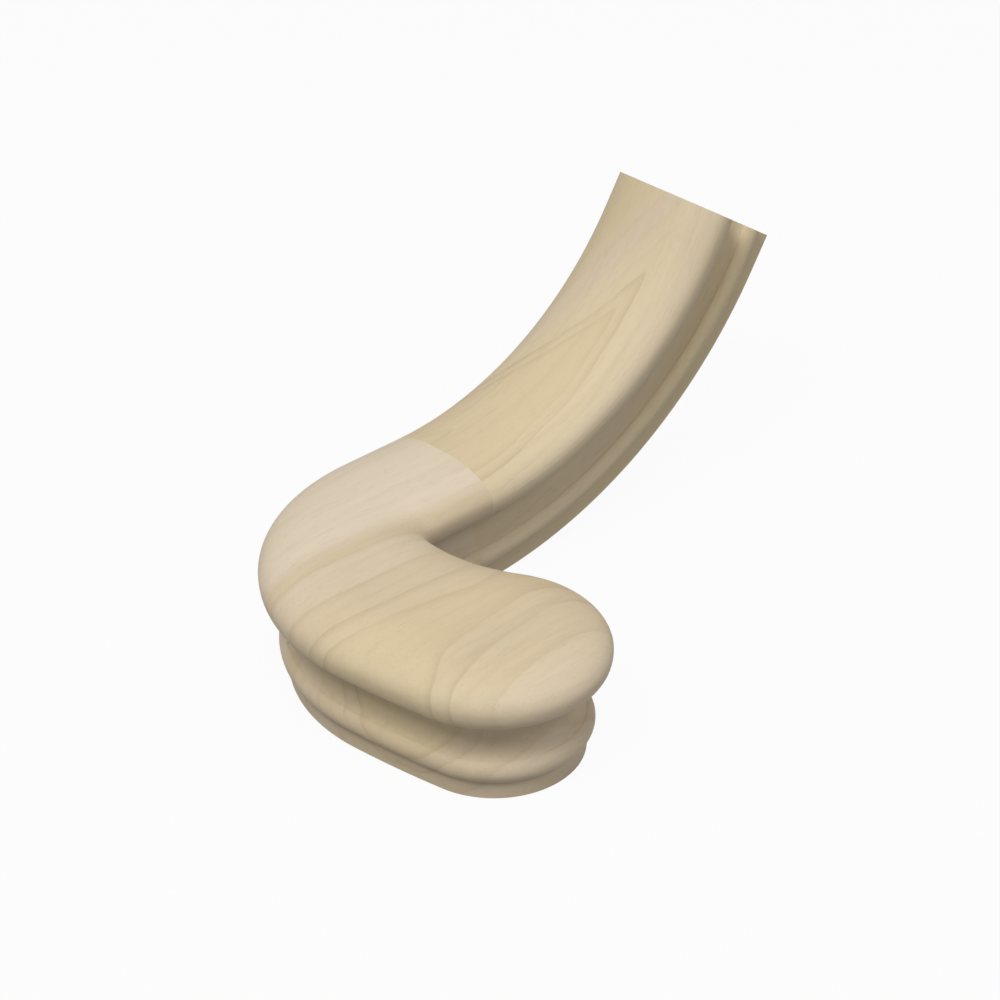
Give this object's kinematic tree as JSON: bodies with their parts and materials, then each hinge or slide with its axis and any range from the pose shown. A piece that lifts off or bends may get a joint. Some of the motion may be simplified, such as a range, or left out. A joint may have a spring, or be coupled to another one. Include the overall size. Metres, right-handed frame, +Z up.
{
  "type": "turnout handrail fitting",
  "caption": "Moulded wooden stair rail fitting: an up-easing that levels out, turns sharply right and ends in a round newel cap.",
  "frame": {"origin": "centre of the newel pin bore at the cap's underside", "axes": "+Z up, +Y uphill along the rail in plan, +X to the side that the fitting turns to"},
  "size_m": [0.1661, 0.271, 0.1228],
  "materials": {
    "easing_wood": "planed and sanded pale hardwood, unfinished, grain along the rail",
    "turnout_wood": "planed and sanded pale hardwood, unfinished, grain across the turn",
    "dowel_wood": "fluted hardwood dowel"
  },
  "bodies": {
    "root": {"easing": "easing_wood", "turnout": "turnout_wood", "dowel_1": "dowel_wood", "dowel_2": "dowel_wood"}
  },
  "joints": []
}
